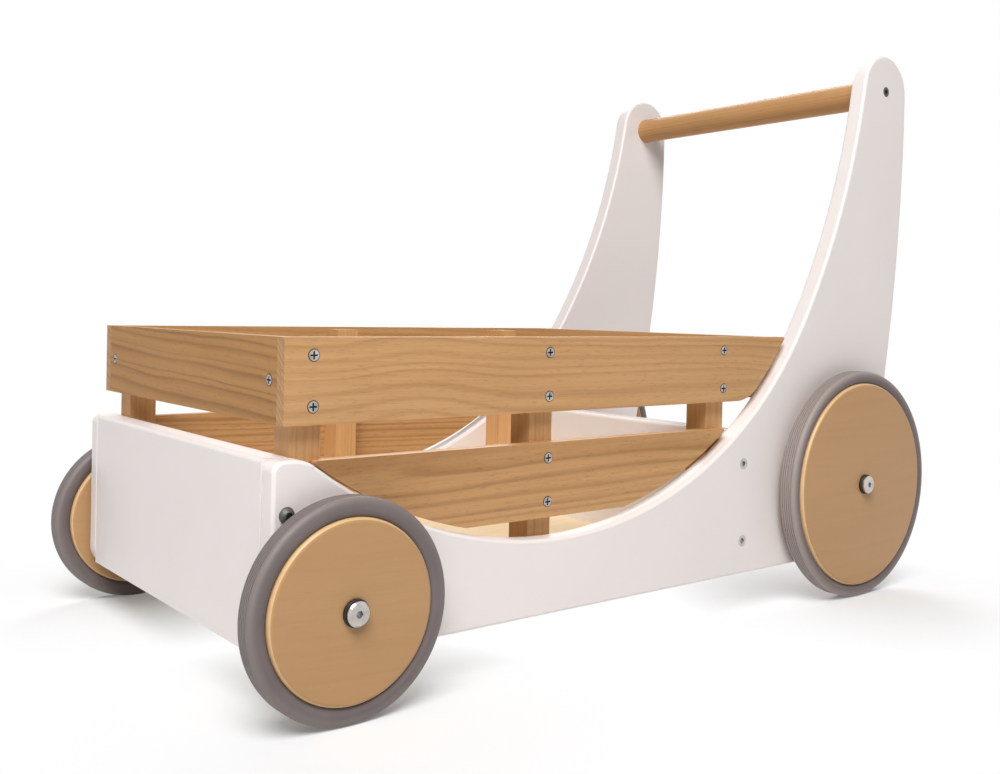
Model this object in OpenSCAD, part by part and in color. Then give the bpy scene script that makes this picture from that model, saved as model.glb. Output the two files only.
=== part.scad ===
// Baby push walker: two white side panels carry a slatted pine tray, a round push handle
// and four rubber-tyred wooden wheels on shoulder bolts.
// Millimetres. +X is the way it is pushed, +Y its left side, +Z up, origin under the middle.

/* [Running gear] */
// Distance between the front and rear axle lines
wheel_base = 501.5; // [440:0.5:560]
// Radius of the front tyres
front_wheel_r = 65; // [50:0.5:80]
// Radius of the rear tyres
rear_wheel_r = 95.5; // [80:0.5:115]
// Thickness of the front tyres, from disc to tread
front_tyre_t = 11.5; // [8:0.5:16]
// Thickness of the rear tyres, from disc to tread
rear_tyre_t = 10; // [8:0.5:16]
// Width of the tyres
tyre_w = 15.5; // [12:0.5:24]
// Thickness of the wooden discs, a little proud of the tyres
disc_w = 18; // [13:0.5:25]
// Rounding of the disc edges
disc_edge_r = 3; // [1:0.5:5]
// Rounding of the tyre shoulders
tyre_shoulder_r = 3.5; // [2:0.5:6]
// Slope of the tyre sides down to the discs
tyre_lip = 2.6; // [0.5:0.1:3]
// Width of the tyres' inner rib in its groove round the disc
tyre_rib_w = 6; // [4:0.5:8]
// Height of the tyres' inner rib
tyre_rib_h = 3; // [2:0.5:4]
// Number of fine grooves round the tread
tread_grooves = 5; // [0:1:7]
// Spacing of the tread grooves
tread_pitch = 1.9; // [1.5:0.1:2.8]
// Depth and width of the tread grooves
tread_depth = 0.6; // [0.3:0.1:1]
// Diameter of the axle shoulder
axle_d = 10; // [8:0.5:12]
// Diameter of the threaded end of the axle bolt
axle_thread_d = 8; // [6:0.5:10]
// Diameter of the axle bolt's flat cap
axle_cap_d = 14.8; // [13:0.1:20]
// Thickness of the axle bolt's flat cap
axle_cap_t = 2.4; // [2:0.1:6]
// Bevel round the flat cap
axle_cap_bevel = 0.9; // [0.3:0.1:1.5]
// Width of a hexagon socket across its corners
socket_d = 4.6; // [3.5:0.1:5.5]
// Depth of a hexagon socket
socket_depth = 1.8; // [1:0.1:2.2]
// Wall of the bush in the disc
bush_wall = 2; // [1.5:0.1:4]
// Diameter of the bush flange under the cap
bush_flange_d = 16.4; // [15:0.1:24]
// Thickness of the bush flange under the cap
bush_flange_t = 2.6; // [1:0.1:4]
// Length of the spacer that holds a wheel off its panel
spacer_t = 4.8; // [3:0.1:8]
// Diameter of the spacers
spacer_d = 22; // [16:0.5:30]
// Diameter of the threaded inserts in the panels
insert_d = 12; // [11:0.5:14]
// Length of the threaded inserts
insert_len = 12; // [8:0.5:12]

/* [Side panels] */
// Clear width between the side panels
inner_w = 280; // [220:1:340]
// Thickness of the side panels
panel_t = 15; // [12:0.5:20]
// Height of the panels' lower edge above the floor
panel_clear = 32; // [20:0.5:45]
// How far the panels reach ahead of the front axle
panel_nose = 41; // [30:0.5:60]
// Height of the flat top at the panels' front end
nose_top = 150.3; // [130:0.1:170]
// Radius of the large scoop in the panels' upper edge
scoop_r = 318; // [290:0.5:340]
// Height of the scoop's lowest point above the floor
scoop_low = 83.4; // [70:0.1:100]
// How far the scoop's lowest point lies behind the front axle
scoop_back = 175.4; // [150:0.1:200]
// Angle up the scoop at which the flatter upright edge begins
scoop_turn = 57; // [45:1:65]
// Distance of the handle behind the rear axle
handle_back = 57.7; // [40:0.1:70]
// Height of the handle axis above the floor
handle_z = 440.2; // [400:0.1:480]
// Radius of the rounded top of each upright
upright_top_r = 32.2; // [25:0.1:40]
// Radius of the panels' bowed back edge
back_bow_r = 1400; // [1200:10:3000]
// Rounding of the rear lower corner
rear_corner_r = 27; // [10:1:40]
// Rounding of the front lower corner
front_corner_r = 15; // [5:1:25]
// Rounding of the front upper corner
nose_corner_r = 7; // [4:0.5:12]
// Rounding between the scoop and the flat front top
nose_fillet_r = 25; // [10:1:35]
// Rounding of all panel edges
panel_edge_r = 3; // [1:0.5:4]

/* [Tray] */
// Thickness of the front and rear boards
board_t = 18; // [12:0.5:22]
// Height of the boards' and floor's lower edge above the floor
board_z = 36.6; // [33:0.1:45]
// Height of the rear board's upper edge
rear_board_top = 145.5; // [120:0.5:160]
// Rounding of the boards' upper edges
board_edge_r = 3; // [1:0.5:4]
// Thickness of the floor board
floor_t = 10; // [6:0.5:14]
// Depth of the panel grooves that hold the floor board
groove_depth = 5; // [3:0.5:8]
// Side of the square posts
post_w = 20; // [16:0.5:26]
// Spacing of the posts along the tray
post_pitch = 181.75; // [150:0.25:200]
// How far the post tops stay below the top of the upper rails
post_drop = 2; // [0:0.5:10]
// Thickness of the rails
rail_t = 9; // [7:0.5:12]
// Height of the rails
rail_h = 51; // [40:0.5:60]
// Height of the middle of the upper rails
upper_rail_z = 194.3; // [180:0.1:210]
// Height of the middle of the lower rails
lower_rail_z = 122.4; // [110:0.1:135]
// How far the rail ends' curve, of the same radius as the scoop, is set above the scoop
rail_lift = 5.5; // [4:0.5:10]
// How far the rail ends' curve is set ahead of the scoop
rail_ahead = 4.8; // [0:0.2:6]
// Rounding of the upper rails' rear lower corner
rail_heel_r = 38; // [20:1:50]
// Rounding of the pointed rail tips
rail_tip_r = 1.5; // [1:0.5:6]
// Distance of the back rail's rear face ahead of the upper rails' rear tips
back_rail_in = 10.5; // [8:0.5:20]

/* [Handle] */
// Diameter of the handle dowel
handle_d = 25; // [20:0.5:32]
// Depth of the sockets in the panels that take the dowel ends
handle_socket = 6; // [3:0.5:10]

/* [Fasteners] */
// Head diameter of the countersunk rail screws
screw_head_d = 8; // [6:0.5:10]
// Shank diameter of the rail screws
screw_d = 3.5; // [3:0.1:5]
// Length of the rail screws
screw_len = 24; // [18:1:32]
// Diameter of the rail screws' blunt tip
screw_tip_d = 0.6; // [0.4:0.1:1.5]
// Length of the arms of the cross recess, tip to tip
recess_d = 4.8; // [3.5:0.1:5.5]
// Width of the arms of the cross recess
recess_w = 1; // [0.6:0.1:1.4]
// Depth of the cross recess
recess_depth = 1.4; // [0.8:0.1:2]
// Spacing of the two screws in a rail at each post
screw_pitch = 29.9; // [20:0.1:36]
// Head diameter of the dome bolts in the front board
dome_bolt_d = 10; // [8:0.5:12]
// Height of the dome heads
dome_t = 4; // [3:0.1:5]
// Head diameter of the countersunk bolts in the rear board and the handle
flat_bolt_d = 9; // [8:0.5:12]
// Shank diameter of the board bolts
bolt_d = 6; // [5:0.5:8]
// Length of the board bolts
bolt_len = 50; // [40:1:60]
// Spacing of the two bolts in each board end
bolt_pitch = 61; // [50:0.5:70]
// Height of the upper bolts
bolt_z = 119.4; // [100:0.1:130]
// Diameter of the barrel nuts
nut_d = 10; // [8:0.5:12]
// Length of the barrel nuts
nut_len = 13; // [10:0.5:16]
// Distance of the barrel nuts from the board ends
nut_back = 26; // [20:1:32]
// Length of the bolts in the handle ends
handle_bolt_len = 45; // [35:1:60]
// Cylindrical part of a countersunk bolt head
flat_head_rim = 1.2; // [0.5:0.1:2]
// Diameter of the back rail's dowel pins
pin_d = 6; // [5:0.5:6.5]
// Length of a dowel pin in the back rail
pin_rail = 14; // [10:0.5:20]
// Length of a dowel pin in a panel or side rail
pin_side = 6; // [4:0.5:7]
// Wood left between a dowel pin and the nearest edge
pin_wall = 4; // [2.5:0.1:5]

/* [Clearances] */
// Gap round parts that are fixed together
seat = 0.05; // [0.02:0.01:0.2]
// Radial running clearance between axle and bush
run = 0.05; // [0.02:0.01:0.1]
// End play of a wheel on its axle, each side
play = 0.2; // [0.1:0.05:0.5]

/* [Hidden] */
// Second side of a right triangle.
function leg(long_side, side) = sqrt(pow(long_side, 2) - pow(side, 2));
// Distance from the middle of the rail ends' curve to a point r inside it at height z.
function end_reach(r, z) = leg(rail_end_r - r, rail_cz - z);
// Rounded edges cross the faces beside them at a slight angle instead of just touching them.
edge_lip = 0.06;
// Rounded arcs of a rim stop this far from their ends. The straight roundings between them run past
// the ends by a little more, and those between two arcs lie slightly deeper.
rim_stop = 1;
rim_reach = rim_stop + 0.25;
rim_sink = 0.1;
front_axle_x = (wheel_base + rear_wheel_r - front_wheel_r) / 2;
rear_axle_x = front_axle_x - wheel_base;
half_in = inner_w / 2;
half_out = half_in + panel_t;
front_x = front_axle_x + panel_nose;
// Scoop: a round arc, then a flatter arc tangent to it and to the upright's round top.
scoop_x = front_axle_x - scoop_back;
scoop_z = scoop_low + scoop_r;
turn_dir = [sin(scoop_turn), cos(scoop_turn)];
turn_pt = [scoop_x, scoop_z] - scoop_r * turn_dir;
top_pt = [rear_axle_x - handle_back, handle_z];
turn_gap = turn_pt - top_pt;
rise_r = (turn_gap * turn_gap - pow(upright_top_r, 2)) / (2 * (upright_top_r - turn_gap * turn_dir));
rise_pt = turn_pt + rise_r * turn_dir;
rise_angle = atan2(rise_pt[1] - top_pt[1], rise_pt[0] - top_pt[0]);
back_pt = [top_pt[0] - upright_top_r + back_bow_r, handle_z];
rear_corner_z = panel_clear + rear_corner_r;
rear_corner_x = back_pt[0] - leg(back_bow_r - rear_corner_r, handle_z - rear_corner_z);
rear_corner = [rear_corner_x, rear_corner_z];
rear_angle = atan2(rear_corner[1] - back_pt[1], rear_corner[0] - back_pt[0]) + 360;
front_corner = [front_x - front_corner_r, panel_clear + front_corner_r];
nose_corner = [front_x - nose_corner_r, nose_top - nose_corner_r];
nose_z = nose_top - nose_fillet_r;
nose_fillet = [scoop_x + leg(scoop_r + nose_fillet_r, scoop_z - nose_z), nose_z];
nose_angle = atan2(scoop_z - nose_fillet[1], scoop_x - nose_fillet[0]);
// Tray
board_in_x = front_x - board_t;
front_post_x = board_in_x - post_w / 2;
post_xs = [front_post_x, front_post_x - post_pitch, front_post_x - 2 * post_pitch];
post_y = half_in - post_w / 2;
rear_in_x = post_xs[2] - post_w / 2;
front_bolt_x = front_x - board_t / 2;
rear_bolt_x = rear_in_x - board_t / 2;
floor_top = board_z + floor_t;
rail_end_r = scoop_r;
rail_cx = scoop_x + rail_ahead;
rail_cz = scoop_z + rail_lift;
upper_top = upper_rail_z + rail_h / 2;
upper_low = upper_rail_z - rail_h / 2;
lower_top = lower_rail_z + rail_h / 2;
lower_low = lower_rail_z - rail_h / 2;
post_top = upper_top - post_drop;
rail_front_x = board_in_x + rail_t;
rail_out = half_in + rail_t;
back_rail_x = rail_cx - end_reach(0, upper_top) + back_rail_in;
back_pin_x = back_rail_x + rail_t / 2;
// The upper pin sits inside the rail ends, the lower one in the panel beyond the scoop.
rail_pin_z = rail_cz - leg(rail_end_r - pin_d / 2 - pin_wall, rail_cx - back_pin_x);
panel_pin_z = scoop_z - leg(scoop_r + pin_d / 2 + pin_wall, scoop_x - back_pin_x);
back_pin_zs = [rail_pin_z, panel_pin_z];
bolt_zs = [bolt_z, bolt_z - bolt_pitch];
upper_screw_zs = [upper_rail_z + screw_pitch / 2, upper_rail_z - screw_pitch / 2];
lower_screw_zs = [lower_rail_z + screw_pitch / 2, lower_rail_z - screw_pitch / 2];
screw_head_t = (screw_head_d - screw_d) / 2;
flat_head_t = (flat_bolt_d - bolt_d) / 2 + flat_head_rim;
// Wheels, measured outwards along the axle from a panel's outer face
front_disc_r = front_wheel_r - front_tyre_t;
rear_disc_r = rear_wheel_r - rear_tyre_t;
disc_in = spacer_t + play;
disc_out = disc_in + disc_w;
bush_d = axle_d + 2 * bush_wall;
cap_in = disc_out + bush_flange_t + play;
// How far cutters reach past the corners that they round
corner_reach = upright_top_r;
cut = 1;
$fn = 96;

// Turns a flat outline drawn in X and Z into a plate between y and y + t.
module plate(y, t) {
  translate([0, y + t, 0])
    rotate([90, 0, 0])
      linear_extrude(t)
        children();
}

// Round bar along Y from y1 to y2.
module bar_y(x, z, y1, y2, d) {
  translate([x, y1, z])
    rotate([-90, 0, 0])
      cylinder(d = d, h = y2 - y1);
}

// Round bar along X from x1 to x2.
module bar_x(x1, x2, y, z, d) {
  translate([x1, y, z])
    rotate([0, 90, 0])
      cylinder(d = d, h = x2 - x1);
}

module block(low, high) {
  translate(low)
    cube(high - low);
}

// Copies onto the right side what is drawn on the left.
module both_sides() {
  children();
  mirror([0, 1, 0])
    children();
}

// What has to go from an outline between two directions to leave a round corner, which with a lip
// crosses the sides at a slight angle instead of just touching them.
module corner_waste(centre, r, from, to, lip = 0) {
  reach = r + corner_reach;
  mid = (from + to) / 2;
  far = reach / cos((to - from) / 2 * 0.8);
  difference() {
    translate(centre)
      polygon([
        [0, 0],
        reach * [cos(from), sin(from)],
        far * [cos(mid), sin(mid)],
        reach * [cos(to), sin(to)]
      ]);
    translate(centre)
      circle(r = r + lip, $fn = 180);
  }
}

// Waste outside the two rounded edges of a panel, across its rim. The rim is at r from the
// turning axis; side is 1 where the panel lies inside the rim and -1 where it lies outside.
module edge_waste(r, side) {
  e = panel_edge_r;
  in = e - edge_lip;
  low = side > 0 ? r - e : r - cut;
  difference() {
    union() {
      translate([low, -cut])
        square([e + cut, e + cut]);
      translate([low, panel_t - e])
        square([e + cut, e + cut]);
    }
    translate([r - side * in, in])
      circle(r = e, $fn = 32);
    translate([r - side * in, panel_t - in])
      circle(r = e, $fn = 32);
  }
}

// Rounds the edges along an arc of the rim, ending just short of the next stretch.
module arc_edge(centre, r, from, to, side) {
  stop = rim_stop * 180 / (PI * r);
  translate(centre)
    rotate([0, 0, from + stop])
      rotate_extrude(angle = to - from - 2 * stop)
        edge_waste(r, side);
}

// Rounds the edges along len of a straight rim from p in direction dir, with the panel on the left.
module straight_edge(p, dir, len) {
  translate(p - rim_reach * dir)
    rotate([0, 0, atan2(dir[1], dir[0])])
      rotate([90, 0, 90])
        linear_extrude(len + 2 * rim_reach)
          edge_waste(0, -1);
}

// Rounds the edges along the straight rim from p to q.
module line_edge(p, q) {
  straight_edge(p, (q - p) / norm(q - p), norm(q - p));
}

// Joins the roundings of two arcs that meet in direction out at r from a centre.
module joint_edge(centre, r, out) {
  straight_edge(centre + (r - rim_sink) * [cos(out), sin(out)], [-sin(out), cos(out)], 0);
}

// The scoop's round arc, and above the line on which they meet its flatter arc.
module scoop_outline() {
  left = [-turn_dir[1], turn_dir[0]];
  translate([scoop_x, scoop_z])
    circle(r = scoop_r, $fn = 360);
  intersection() {
    translate(rise_pt)
      circle(r = rise_r, $fn = 360);
    polygon([
      turn_pt - corner_reach * turn_dir,
      turn_pt + scoop_r * turn_dir,
      turn_pt + scoop_r * turn_dir + rise_r * left,
      turn_pt - corner_reach * turn_dir + rise_r * left
    ]);
  }
}

module panel_outline() {
  difference() {
    intersection() {
      translate(back_pt)
        circle(r = back_bow_r, $fn = 720);
      polygon([
        [top_pt[0] - 2 * upright_top_r, panel_clear],
        [front_x, panel_clear],
        [front_x, nose_top],
        [scoop_x, nose_top],
        [scoop_x, handle_z + 2 * upright_top_r],
        [top_pt[0] - 2 * upright_top_r, handle_z + 2 * upright_top_r]
      ]);
    }
    scoop_outline();
    corner_waste(top_pt, upright_top_r, rise_angle, 180);
    corner_waste(rear_corner, rear_corner_r, rear_angle, 270);
    corner_waste(front_corner, front_corner_r, 270, 360);
    corner_waste(nose_corner, nose_corner_r, 0, 90);
    corner_waste(nose_fillet, nose_fillet_r, 90, nose_angle);
  }
}

module rounded_panel() {
  difference() {
    linear_extrude(panel_t)
      panel_outline();
    arc_edge(top_pt, upright_top_r, rise_angle, 180, 1);
    joint_edge(top_pt, upright_top_r, 180);
    arc_edge(back_pt, back_bow_r, 180, rear_angle, 1);
    joint_edge(rear_corner, rear_corner_r, rear_angle);
    arc_edge(rear_corner, rear_corner_r, rear_angle, 270, 1);
    line_edge([rear_corner[0], panel_clear], [front_corner[0], panel_clear]);
    arc_edge(front_corner, front_corner_r, 270, 360, 1);
    line_edge([front_x, front_corner[1]], [front_x, nose_corner[1]]);
    arc_edge(nose_corner, nose_corner_r, 0, 90, 1);
    line_edge([nose_corner[0], nose_top], [nose_fillet[0], nose_top]);
    arc_edge(nose_fillet, nose_fillet_r, 90, nose_angle, 1);
    joint_edge(nose_fillet, nose_fillet_r, nose_angle);
    arc_edge([scoop_x, scoop_z], scoop_r, 270 - scoop_turn, nose_angle + 180, -1);
    joint_edge(turn_pt, 0, 90 - scoop_turn);
    arc_edge(rise_pt, rise_r, rise_angle + 180, 270 - scoop_turn, -1);
    joint_edge(top_pt, upright_top_r, rise_angle);
  }
}

module panel() {
  difference() {
    translate([0, half_out, 0])
      rotate([90, 0, 0])
        rounded_panel();
    bar_y(top_pt[0], handle_z, half_in - cut, half_in + handle_socket + seat, handle_d + 2 * seat);
    bar_y(top_pt[0], handle_z, half_in, half_out + cut, bolt_d + 2 * seat);
    flat_head_seat(top_pt[0], handle_z);
    for (z = bolt_zs) {
      bar_y(front_bolt_x, z, half_in - cut, half_out + cut, bolt_d + 2 * seat);
      bar_y(rear_bolt_x, z, half_in - cut, half_out + cut, bolt_d + 2 * seat);
      flat_head_seat(rear_bolt_x, z);
    }
    bar_y(front_axle_x, front_wheel_r, half_out - insert_len - seat, half_out + cut, insert_d + 2 * seat);
    bar_y(rear_axle_x, rear_wheel_r, half_out - insert_len - seat, half_out + cut, insert_d + 2 * seat);
    block([rear_in_x, half_in - cut, board_z], [board_in_x, half_in + groove_depth, floor_top]);
    bar_y(back_pin_x, back_pin_zs[1], half_in - cut, half_in + pin_side + seat, pin_d + 2 * seat);
  }
}

// Countersink for a flat-headed bolt in a panel's outer face.
module flat_head_seat(x, z) {
  translate([x, half_out - flat_head_t - seat, z])
    rotate([-90, 0, 0])
      cylinder(d1 = bolt_d + 2 * seat, d2 = flat_bolt_d + 2 * seat, h = flat_head_t + seat);
}

module left_panel() {
  color([0.93, 0.92, 0.90])
    panel();
}

module right_panel() {
  color([0.93, 0.92, 0.90])
    mirror([0, 1, 0])
      panel();
}

// Board across the tray with both upper edges rounded.
module cross_board(x, top) {
  difference() {
    block([x, -half_in, board_z], [x + board_t, half_in, top]);
    board_edge(x + board_edge_r, top, -1);
    board_edge(x + board_t - board_edge_r, top, 1);
  }
}

// Waste outside a rounded upper edge; side is -1 for the rear edge and 1 for the front edge.
module board_edge(x, top, side) {
  difference() {
    block(
      [min(x, x + side * 2 * board_edge_r), -half_in - cut, top - board_edge_r],
      [max(x, x + side * 2 * board_edge_r), half_in + cut, top + cut]
    );
    bar_y(x, top - board_edge_r, -half_in - 2 * cut, half_in + 2 * cut, 2 * board_edge_r);
  }
}

module board_bolt_holes(x) {
  both_sides()
    for (z = bolt_zs)
      bar_y(x, z, half_out - bolt_len - seat, half_in + cut, bolt_d + 2 * seat);
}

module front_board() {
  color([0.93, 0.92, 0.90])
    difference() {
      cross_board(board_in_x, nose_top);
      board_bolt_holes(front_bolt_x);
      both_sides()
        for (z = bolt_zs)
          bar_x(board_in_x - cut, board_in_x + nut_len + seat, half_in - nut_back, z, nut_d + 2 * seat);
    }
}

module rear_board() {
  color([0.93, 0.92, 0.90])
    difference() {
      cross_board(rear_in_x - board_t, rear_board_top);
      board_bolt_holes(rear_bolt_x);
      both_sides()
        for (z = bolt_zs)
          bar_x(rear_in_x - board_t - cut, rear_in_x - board_t + nut_len + seat,
            half_in - nut_back, z, nut_d + 2 * seat);
    }
}

module floor_board() {
  color([0.84, 0.70, 0.50])
    block(
      [rear_in_x, -half_in - groove_depth + seat, board_z],
      [board_in_x, half_in + groove_depth - seat, floor_top]
    );
}

module handle_dowel() {
  color([0.78, 0.60, 0.40])
    difference() {
      bar_y(top_pt[0], handle_z, -half_in - handle_socket, half_in + handle_socket, handle_d);
      both_sides()
        bar_y(top_pt[0], handle_z, half_out - handle_bolt_len - seat, half_out, bolt_d + 2 * seat);
    }
}

// Square post on the left side with pilot holes for the rail screws.
module post(x, low_rail, front_rail) {
  color([0.74, 0.54, 0.33])
    difference() {
      block([x - post_w / 2, half_in - post_w, floor_top], [x + post_w / 2, half_in, post_top]);
      for (z = upper_screw_zs)
        bar_y(x, z, rail_out - screw_len - seat, half_in + cut, screw_d + 2 * seat);
      if (low_rail)
        for (z = lower_screw_zs)
          bar_y(x, z, rail_out - screw_len - seat, half_in + cut, screw_d + 2 * seat);
      if (front_rail)
        bar_x(rail_front_x - screw_len - seat, rail_front_x, post_y, upper_rail_z, screw_d + 2 * seat);
    }
}

module front_left_post() {
  post(post_xs[0], false, true);
}

module front_right_post() {
  mirror([0, 1, 0])
    post(post_xs[0], false, true);
}

module middle_left_post() {
  post(post_xs[1], true, false);
}

module middle_right_post() {
  mirror([0, 1, 0])
    post(post_xs[1], true, false);
}

module rear_left_post() {
  post(post_xs[2], false, false);
}

module rear_right_post() {
  mirror([0, 1, 0])
    post(post_xs[2], false, false);
}

module upper_outline() {
  heel = [rail_cx - end_reach(rail_heel_r, upper_low + rail_heel_r), upper_low + rail_heel_r];
  tip = [rail_cx - end_reach(rail_tip_r, upper_top - rail_tip_r), upper_top - rail_tip_r];
  difference() {
    intersection() {
      translate([rail_cx - rail_end_r, upper_low])
        square([rail_front_x - rail_cx + rail_end_r, rail_h]);
      union() {
        translate([rail_cx, rail_cz])
          circle(r = rail_end_r, $fn = 360);
        translate([rail_cx, upper_low - cut])
          square([rail_front_x - rail_cx + cut, rail_h + 2 * cut]);
      }
    }
    corner_waste(heel, rail_heel_r, atan2(heel[1] - rail_cz, heel[0] - rail_cx) + 360, 270, edge_lip);
    corner_waste(tip, rail_tip_r, 90, atan2(tip[1] - rail_cz, tip[0] - rail_cx) + 360, edge_lip);
  }
}

module lower_outline() {
  tip_x = end_reach(rail_tip_r, lower_top - rail_tip_r);
  tip_angle = atan2(lower_top - rail_tip_r - rail_cz, -tip_x) + 360;
  difference() {
    intersection() {
      translate([rail_cx - rail_end_r, lower_low])
        square([2 * rail_end_r, rail_h]);
      translate([rail_cx, rail_cz])
        circle(r = rail_end_r, $fn = 360);
    }
    corner_waste([rail_cx - tip_x, lower_top - rail_tip_r], rail_tip_r, 90, tip_angle, edge_lip);
    corner_waste([rail_cx + tip_x, lower_top - rail_tip_r], rail_tip_r, 180 - tip_angle, 90, edge_lip);
  }
}

// Countersunk screw hole through a rail on the left side.
module side_screw_hole(x, z) {
  bar_y(x, z, half_in - cut, rail_out + cut, screw_d + 2 * seat);
  translate([x, rail_out - screw_head_t - seat, z])
    rotate([-90, 0, 0])
      cylinder(d1 = screw_d + 2 * seat, d2 = screw_head_d + 2 * seat, h = screw_head_t + seat);
}

module upper_rail() {
  color([0.76, 0.58, 0.37])
    difference() {
      plate(half_in, rail_t)
        upper_outline();
      for (x = post_xs)
        for (z = upper_screw_zs)
          side_screw_hole(x, z);
      bar_y(back_pin_x, back_pin_zs[0], half_in - cut, half_in + pin_side + seat, pin_d + 2 * seat);
    }
}

module lower_rail() {
  color([0.76, 0.58, 0.37])
    difference() {
      plate(half_in, rail_t)
        lower_outline();
      for (z = lower_screw_zs)
        side_screw_hole(post_xs[1], z);
    }
}

module left_upper_rail() {
  upper_rail();
}

module right_upper_rail() {
  mirror([0, 1, 0])
    upper_rail();
}

module left_lower_rail() {
  lower_rail();
}

module right_lower_rail() {
  mirror([0, 1, 0])
    lower_rail();
}

module front_rail() {
  color([0.76, 0.58, 0.37])
    difference() {
      block([board_in_x, -half_in, upper_low], [rail_front_x, half_in, upper_top]);
      both_sides() {
        bar_x(board_in_x - cut, rail_front_x + cut, post_y, upper_rail_z, screw_d + 2 * seat);
        translate([rail_front_x - screw_head_t - seat, post_y, upper_rail_z])
          rotate([0, 90, 0])
            cylinder(d1 = screw_d + 2 * seat, d2 = screw_head_d + 2 * seat, h = screw_head_t + seat);
      }
    }
}

module back_rail() {
  color([0.76, 0.58, 0.37])
    difference() {
      block([back_rail_x, -half_in, upper_low], [back_rail_x + rail_t, half_in, upper_top]);
      both_sides()
        for (z = back_pin_zs)
          bar_y(back_pin_x, z, half_in - pin_rail - seat, half_in + cut, pin_d + 2 * seat);
    }
}

// Countersunk wood screw with a cross recess, head up, tip down.
module wood_screw() {
  difference() {
    union() {
      translate([0, 0, -screw_head_t])
        cylinder(d1 = screw_d, d2 = screw_head_d, h = screw_head_t);
      translate([0, 0, -screw_len + screw_d])
        cylinder(d = screw_d, h = screw_len - screw_d - screw_head_t);
      translate([0, 0, -screw_len])
        cylinder(d1 = screw_tip_d, d2 = screw_d, h = screw_d);
    }
    for (turn = [0, 90])
      rotate([0, 0, turn])
        translate([-recess_d / 2, -recess_w / 2, -recess_depth])
          cube([recess_d, recess_w, recess_depth + cut]);
  }
}

module side_rail_screws() {
  color([0.70, 0.70, 0.68])
    both_sides() {
      for (x = post_xs)
        for (z = upper_screw_zs)
          translate([x, rail_out, z])
            rotate([-90, 0, 0])
              wood_screw();
      for (z = lower_screw_zs)
        translate([post_xs[1], rail_out, z])
          rotate([-90, 0, 0])
            wood_screw();
    }
}

module front_rail_screws() {
  color([0.70, 0.70, 0.68])
    both_sides()
      translate([rail_front_x, post_y, upper_rail_z])
        rotate([0, 90, 0])
          wood_screw();
}

module back_rail_pins() {
  color([0.80, 0.65, 0.45])
    both_sides()
      for (z = back_pin_zs)
        bar_y(back_pin_x, z, half_in - pin_rail, half_in + pin_side, pin_d);
}

// Dome-headed bolt with a hexagon socket, seated on z = 0, shank down.
module dome_bolt() {
  dome_r = (pow(dome_bolt_d / 2, 2) + pow(dome_t, 2)) / (2 * dome_t);
  difference() {
    union() {
      intersection() {
        translate([0, 0, dome_t - dome_r])
          sphere(r = dome_r);
        cylinder(d = dome_bolt_d + 2 * cut, h = dome_t + cut);
      }
      translate([0, 0, -bolt_len])
        cylinder(d = bolt_d, h = bolt_len);
    }
    translate([0, 0, dome_t - socket_depth])
      cylinder(d = socket_d, h = socket_depth + cut, $fn = 6);
  }
}

// Countersunk bolt with a hexagon socket, flush with z = 0, shank down.
module flat_bolt(len) {
  difference() {
    union() {
      translate([0, 0, -flat_head_t])
        cylinder(d1 = bolt_d, d2 = flat_bolt_d, h = flat_head_t);
      translate([0, 0, -len])
        cylinder(d = bolt_d, h = len - flat_head_t);
    }
    translate([0, 0, -socket_depth])
      cylinder(d = socket_d, h = socket_depth + cut, $fn = 6);
  }
}

module front_board_bolts() {
  color([0.35, 0.35, 0.35])
    both_sides()
      for (z = bolt_zs)
        translate([front_bolt_x, half_out, z])
          rotate([-90, 0, 0])
            dome_bolt();
}

module rear_board_bolts() {
  color([0.65, 0.64, 0.63])
    both_sides()
      for (z = bolt_zs)
        translate([rear_bolt_x, half_out, z])
          rotate([-90, 0, 0])
            flat_bolt(bolt_len);
}

module handle_bolts() {
  color([0.35, 0.35, 0.35])
    both_sides()
      translate([top_pt[0], half_out, handle_z])
        rotate([-90, 0, 0])
          flat_bolt(handle_bolt_len);
}

// Barrel nut along X, cross-drilled for its bolt.
module barrel_nut(x1, bolt_x, z) {
  difference() {
    bar_x(x1, x1 + nut_len, half_in - nut_back, z, nut_d);
    bar_y(bolt_x, z, half_in - nut_back - nut_d, half_in - nut_back + nut_d, bolt_d + 2 * seat);
  }
}

module barrel_nuts() {
  color([0.65, 0.64, 0.63])
    both_sides()
      for (z = bolt_zs) {
        barrel_nut(board_in_x, front_bolt_x, z);
        barrel_nut(rear_in_x - board_t, rear_bolt_x, z);
      }
}

// Draws its children at the front and rear axles of both sides, outwards along +Z.
module at_axles() {
  both_sides() {
    translate([front_axle_x, half_out, front_wheel_r])
      rotate([-90, 0, 0])
        children();
    translate([rear_axle_x, half_out, rear_wheel_r])
      rotate([-90, 0, 0])
        children();
  }
}

module axle_bolt() {
  difference() {
    union() {
      translate([0, 0, -insert_len])
        cylinder(d = axle_thread_d, h = insert_len + cut);
      cylinder(d = axle_d, h = cap_in + cut);
      translate([0, 0, cap_in])
        cylinder(d = axle_cap_d, h = axle_cap_t - axle_cap_bevel);
      translate([0, 0, cap_in + axle_cap_t - axle_cap_bevel])
        cylinder(d1 = axle_cap_d, d2 = axle_cap_d - 2 * axle_cap_bevel, h = axle_cap_bevel);
    }
    translate([0, 0, cap_in + axle_cap_t - socket_depth])
      cylinder(d = socket_d, h = socket_depth + cut, $fn = 6);
  }
}

module axle_bolts() {
  color([0.80, 0.79, 0.77])
    at_axles()
      axle_bolt();
}

module axle_inserts() {
  color([0.65, 0.64, 0.63])
    at_axles()
      translate([0, 0, -insert_len])
        difference() {
          cylinder(d = insert_d, h = insert_len);
          translate([0, 0, -cut])
            cylinder(d = axle_thread_d + 2 * seat, h = insert_len + 2 * cut);
        }
}

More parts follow.
